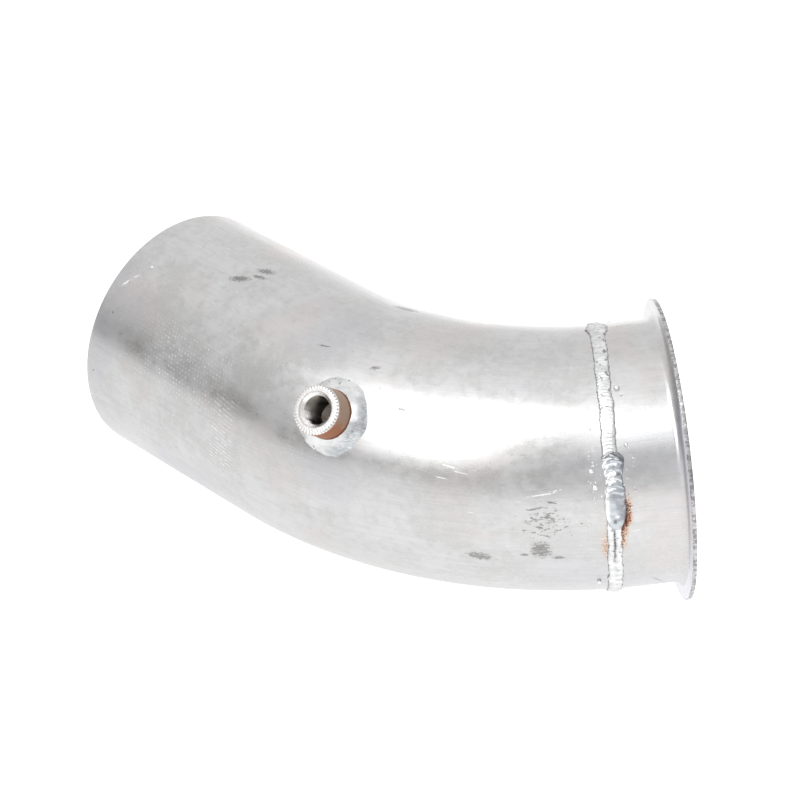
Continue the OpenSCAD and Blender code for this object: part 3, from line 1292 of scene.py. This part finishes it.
@dataclass
class BossFillet:
    """The fillet weld round the boss, lying on the bend."""

    layout: Layout
    finish: WeldMetal
    climb: float = 3.6
    reach: float = 5.3
    overlap: float = 0.15
    under: float = 0.9
    around: int = 200
    section_points: int = 32

    def build(self) -> Piece:
        """Sweeps the fillet's section round the boss and lays it on the bend.

        Returns:
            The fillet.
        """
        bm = bmesh.new()
        middle = 12.0
        stand = Matrix.Translation((middle, 0, 0)) @ Matrix.Rotation(math.pi / 2, 4, "X")
        bmesh.ops.create_circle(bm, segments=self.section_points, radius=1.0, matrix=stand)
        spin_round(bm, (0, 0, 1), self.around, MM_DOUBLES)
        for v in bm.verts:
            v.co = self._at(math.atan2(v.co.y, v.co.x), math.hypot(v.co.x, v.co.y) - middle, v.co.z)
        bmesh.ops.recalc_face_normals(bm, faces=bm.faces)
        piece = place_mesh(bm, "boss_fillet_weld", BEAD_EDGE)
        store_place(piece, self.layout.unbent_tube)
        store(piece, {"toe": nowhere, "crust_and_painted_highlight": nowhere, "pores_and_painted_shade": self._pores_and_painted_shade, "rust": self._rust,
                      "ground": self._ground_off})
        return dress(piece, Node.BOSS_WELD, self.finish.material())

    def _at(self, turn: float, side: float, rise: float) -> Vector:
        """One point of the fillet.

        Args:
            turn: place round the boss, in radians.
            side: place across the section, from -1 at the boss to 1 at the foot.
            rise: place up the section, from -1 underneath to 1 on the face.

        Returns:
            The point, in metres.
        """
        lay = self.layout
        x, y = math.cos(turn), math.sin(turn)
        reach = self.reach + 0.7 * wobble(2.1 * x, 2.1 * y, seed=3) + 0.3 * wobble(6 * x, 6 * y, seed=4)
        climb = self.climb + 0.5 * wobble(2.4 * x, 2.4 * y, seed=5)
        t = min(1.0, max(0.0, (side + 1) / 2))
        r = lay.boss_r / MM - self.overlap + (reach + self.overlap) * t
        ground = self._ground(r * x, r * y)
        if rise < 0:
            return lay.boss() @ (Vector((r * x, r * y, ground - self.under * math.sqrt(abs(rise)))) * MM)
        face = climb * (1 - t) ** 1.25 + 0.55 * math.sin(math.pi * t) - 0.12 * t
        bumps = 0.16 * wobble(5 * x, 5 * y, 2 * t, seed=6) + 0.08 * abs(math.sin(23 * turn + 2.2 * t))
        return lay.boss() @ (Vector((r * x, r * y, ground + face + bumps * math.sin(math.pi * t))) * MM)

    def _ground(self, x: float, y: float) -> float:
        """Height of the bend's outside under a point beside the boss, from the centreline in mm."""
        lay, low, high, halvings = self.layout, 40.0, 54.0, 24
        stand = lay.boss()
        for _ in range(halvings):
            z = (low + high) / 2
            if lay.bend_surface(stand @ (Vector((x, y, z)) * MM)) > 0:
                high = z
            else:
                low = z
        return (low + high) / 2

    def _pores_and_painted_shade(self, co: Vector) -> float:
        """Small dark pores."""
        p = self.layout.boss().inverted() @ co / MM
        return smooth(0.56, 0.64, wobble(p.x / 1.3, p.y / 1.3, seed=12))

    def _ground_off(self, co: Vector) -> float:
        """1 where the fillet was dressed with a grinder, towards the mouth and down."""
        p = co - self.layout.boss() @ Vector((0, 0, self.layout.tube_r))
        return smooth(2.0, 7.0, (0.75 * p.x - 0.66 * p.z) / MM)

    def _rust(self, co: Vector) -> float:
        """A thin dark line where the fillet meets the boss."""
        p = self.layout.boss().inverted() @ co / MM
        return 0.9 * (1 - smooth(9.4, 10.1, math.hypot(p.x, p.y)))


@dataclass
class Spatter:
    """Round droplets thrown beside the seam."""

    layout: Layout
    finish: WeldMetal
    # degrees round the seam, mm past it and radius in mm
    drops: tuple[tuple[float, float, float], ...] = (
        (66, 4.6, 1.2), (31, -7.2, 1.0), (24, -6.2, 1.1), (41, 6.2, 0.8),
        (128, 5.5, 1.0), (-30, -6.2, 1.0), (205, 6, 1.1), (236, -6.6, 1.0))
    specks: int = 46
    seed: int = 7

    def build(self) -> Piece:
        """Sets each droplet on the sheet.

        Returns:
            The droplets, as one piece.
        """
        rng = random.Random(self.seed)
        bm = bmesh.new()
        for degrees, past, r in self.drops:
            self._drop(bm, degrees, past, r, rng)
        for _ in range(self.specks):
            past = rng.choice((-1, 1)) * rng.uniform(3.6, 9.0)
            self._drop(bm, rng.gauss(27, 13), past, rng.uniform(0.2, 0.46), rng)
        piece = place_mesh(bm, "weld_droplets", BEAD_EDGE)
        store_place(piece, self.layout.unbent_tube)
        store(piece, dict.fromkeys(("toe", "pores_and_painted_shade", "rust", "crust_and_painted_highlight"), nowhere))
        return dress(piece, Node.SPATTER, self.finish.material())

    def _drop(self, bm: Skin, degrees: float, past: float, r: float, rng: random.Random) -> None:
        """Adds one droplet.

        Args:
            bm: the mesh.
            degrees: place round the seam.
            past: offset from the seam towards the mouth, in mm.
            r: radius in mm.
            rng: source of small differences between droplets.
        """
        turn = Matrix.Rotation(math.radians(90 - degrees), 4, "X")
        ground = self.layout.tube_mm
        if past < 0:
            ground -= past * past / 2 / (self.layout.bend_r / MM) * math.cos(math.radians(degrees))
        spot = self.layout.weld() @ turn @ Matrix.Translation(Vector((past, 0, ground + 0.3 * r)) * MM)
        squash = Matrix.Diagonal((rng.uniform(0.85, 1.2), rng.uniform(0.85, 1.2), 0.8, 1))
        bmesh.ops.create_icosphere(bm, subdivisions=3 if r > 0.6 else 2, radius=r * MM, matrix=spot @ squash)


# ---- stage ----------------------------------------------------------------


@dataclass(frozen=True)
class SoftBox:
    """A soft light: its bearing from the elbow in degrees, its size in metres and its power in watts."""

    name: str
    azimuth: float
    elevation: float
    size: tuple[float, float]
    power: float


@dataclass(frozen=True)
class Studio:
    """A pale floor that the elbow rests on, soft lights and the camera."""

    up: tuple[float, float, float] = (0.0927, 0.0915, 0.9915)
    floor_size: float = 12.0
    floor_colour: RGB = (0.36, 0.36, 0.36)
    floor_mottle: RGB = (0.3564, 0.3564, 0.3564)
    floor_glow: float = 1.12
    floor_glow_left: float = 0.74
    room_front: float = 0.82
    room_back: float = 1.08
    ceiling: float = 0.45
    dark_wall: float = 0.60
    target: tuple[float, float, float] = (-0.0997, 0.053, 0.0)
    azimuth: float = -2.38
    elevation: float = 35.3
    roll: float = -5.28
    distance: float = 1.1915
    lens: float = 135.0
    lights_away: float = 1.5
    lights: tuple[SoftBox, ...] = (
        SoftBox("key", -46, 47, (0.72, 1.1), 7.0),
        SoftBox("top", -30, 70, (1.9, 0.5), 4.0),
        SoftBox("side", 14, 48, (0.7, 0.45), 1.0),
    )

    def build(self) -> None:
        """Sets up the floor, the lights and the camera."""
        self._floor()
        self._world()
        for light in self.lights:
            self._light(light)
        self._camera()
        bpy.context.scene.view_settings.view_transform = "Standard"

    @staticmethod
    def _bearing(azimuth: float, elevation: float) -> Vector:
        """Direction from the elbow at degrees round from the front, positive towards the mouth, and up."""
        a, e = math.radians(azimuth), math.radians(elevation)
        return Vector((math.sin(a) * math.cos(e), -math.cos(a) * math.cos(e), math.sin(e)))

    def _hang(self, name: str, data: bpy.types.ID, way: Vector, distance: float, turn: Matrix) -> Piece:
        """Hangs a light or a camera in the studio.

        Args:
            name: the object's name.
            data: the light or the camera.
            way: direction from the elbow.
            distance: metres from the elbow.
            turn: how it is turned.

        Returns:
            The object.
        """
        hung = bpy.data.objects.new(name, data)
        hung.matrix_world = Matrix.Translation(Vector(self.target) + way * distance) @ turn
        bpy.context.scene.collection.objects.link(hung)
        return hung

    def _floor(self) -> None:
        """Lays the floor against the lowest points of the elbow as it rests."""
        up = Vector(self.up).normalized()
        corners = [v.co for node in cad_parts.values() for v in node.data.vertices]
        clearance = 0.05 * MM
        drop = min(up.dot(co) for co in corners) - clearance
        bm = bmesh.new()
        stand = Matrix.Translation(up * drop) @ up.to_track_quat("Z", "Y").to_matrix().to_4x4()
        bmesh.ops.create_grid(bm, x_segments=8, y_segments=8, size=self.floor_size / 2, matrix=stand)
        floor = place_mesh(bm, "studio_floor")
        p = Pattern("studio_floor_paint", 0.0)
        where = p.node("ShaderNodeTexCoord").outputs["Object"]
        shade = p.step(p.cloud(where, 3.0), 0.3, 0.7)
        p.put("Base Color", p.tint(shade, self.floor_colour, self.floor_mottle))
        p.put("Roughness", 0.9)
        p.put("Specular IOR Level", 0.1)
        p.put("Emission Color", (1, 1, 1, 1))
        glow = p.step(p.split(where)[0], -0.4, 0.1, self.floor_glow_left, self.floor_glow)
        p.put("Emission Strength", glow)
        floor.data.materials.append(p.material)

    def _world(self) -> None:
        """Lights the room softly: white behind and overhead, with a dark wall at the plain end."""
        world = bpy.data.worlds.new("studio_room")
        world.use_nodes = True
        room = Nodes(world.node_tree)
        x, y, z = room.split(room.node("ShaderNodeTexCoord").outputs["Generated"])
        # brighter behind and overhead
        level = room.plus(room.step(y, -0.2, 0.9, self.room_front, self.room_back),
                          room.step(z, 0.7, 1.0, 0.0, self.ceiling))
        # the wall beyond the plain end, up to about the elbow's height
        dark = room.times(room.step(x, -0.97, -0.68, self.dark_wall, 0.0), room.step(z, 0.1, 0.44, 1.0, 0.0))
        background = room.tree.nodes["Background"]
        background.inputs["Color"].default_value = (1, 1, 1, 1)
        room.plug(room.sum(Sum.SUBTRACT, level, dark), background.inputs["Strength"])
        bpy.context.scene.world = world

    def _light(self, light: SoftBox) -> None:
        """Hangs one soft light, aimed at the elbow and hidden from the camera."""
        data = bpy.data.lights.new(light.name, "AREA")
        data.shape, data.energy = "RECTANGLE", light.power
        data.size, data.size_y = light.size
        way = self._bearing(light.azimuth, light.elevation)
        turn = way.to_track_quat("Z", "Y").to_matrix().to_4x4()
        self._hang(light.name, data, way, self.lights_away, turn).visible_camera = False

    def _camera(self) -> None:
        """Aims the camera at the elbow, level but for its roll."""
        way = self._bearing(self.azimuth, self.elevation)
        a = math.radians(self.azimuth)
        right = Vector((math.cos(a), math.sin(a), 0))
        turn = Matrix((right, way.cross(right), way)).transposed().to_4x4()
        roll = Matrix.Rotation(math.radians(self.roll), 4, "Z")
        data = bpy.data.cameras.new("studio_camera")
        data.lens, data.sensor_width, data.clip_end = self.lens, 36.0, 50
        bpy.context.scene.camera = self._hang("studio_camera", data, way, self.distance, turn @ roll)


def tube_steel() -> SatinSteel:
    """The tube's steel, with the smudges, dents and scratches that handling left on it."""
    smudges = (Mark(55.5, 94, 5.0, 2.2, 20), Mark(56.5, 89, 4.0, 1.4, 15), Mark(51, 83, 5.5, 2.2, 30),
               Mark(118, 115, 7.0, 3.0), Mark(128, 68, 2.4, 1.2, 30), Mark(142, 52, 1.6, 0.8),
               Mark(168, -11, 5.0, 2.4, -10), Mark(105.5, 71, 3.5, 0.5, 10))
    by_the_pits = (Mark(189, 18, 2.0, 0.6, -12), Mark(184, 15, 2.8, 0.5, 14), Mark(190.5, -10, 2.2, 1.0),
                   Mark(181, -8.5, 1.8, 0.8), Mark(185.7, -5.4, 3.6, 5.4))
    plain_end = (Mark(7.8, 40, 0.8, 0.6), Mark(4.1, 10, 0.6, 0.6))
    pale = (Mark(6.5, 55, 2.6, 0.7, 60), Mark(9.5, 60, 1.8, 0.6, 40), Mark(12.6, 67, 0.9, 0.7),
            Mark(187, 21.5, 5.5, 0.4, 12), Mark(190, 23, 3.0, 0.35, 14), Mark(160, 31, 3.0, 0.4, -15),
            Mark(163, 29, 3.6, 0.35, -12), Mark(157, 26, 2.6, 0.35, -8))
    dark = smudges + by_the_pits + plain_end
    return SatinSteel("tube_satin_steel", dark_marks=dark, pale_marks=pale, gripped=True)


def collar_steel() -> SatinSteel:
    """The collar's steel, with two dark scratches."""
    scratches = (Mark(217, 109, 6.0, 0.5, 4), Mark(219.5, -36, 6.0, 0.5, -60))
    return SatinSteel("collar_satin_steel", dark_marks=scratches)


def main() -> None:
    """Builds the elbow's pieces in order, then the stage."""
    logging.basicConfig(level=logging.INFO, format="%(name)s: %(message)s")
    layout = Layout()
    run_metal = WeldMetal("girth_weld_metal")
    lump_metal = WeldMetal("lump_weld_metal", bright=(0.50, 0.53, 0.56), grey=(0.33, 0.35, 0.38),
                           gloss=(0.2, 0.36), coarse=0.5)
    fillet_metal = WeldMetal("boss_weld_metal_ground", coarse=0.45, depth=0.03, ground=True)
    pieces = [
        ElbowTube(layout, tube_steel()),
        FlareCollar(layout, collar_steel()),
        WeldBead(layout, run_metal, 33.0, 103.0, "girth_bead_near", Node.NEAR_RUN, Slot.GIRTH_WELD),
        FarRun(layout, run_metal, 101.0, 369.0, "girth_bead_far", Node.FAR_RUN, Slot.GIRTH_WELD, seed=3),
        StopLump(layout, lump_metal, 4.2, 38.5, "stop_lump", Node.LUMP, Slot.LUMP, seed=5, step=0.22),
        SensorBoss(layout, BossSteel()),
        BossFillet(layout, fillet_metal),
        Spatter(layout, WeldMetal("spatter_metal_bright", grey=(0.7, 0.7, 0.7))),
    ]
    for piece in pieces:
        made = piece.build()
        LOG.info("built %s as %s", type(piece).__name__, made.name)
    Studio().build()


if __name__ == "__main__":
    main()
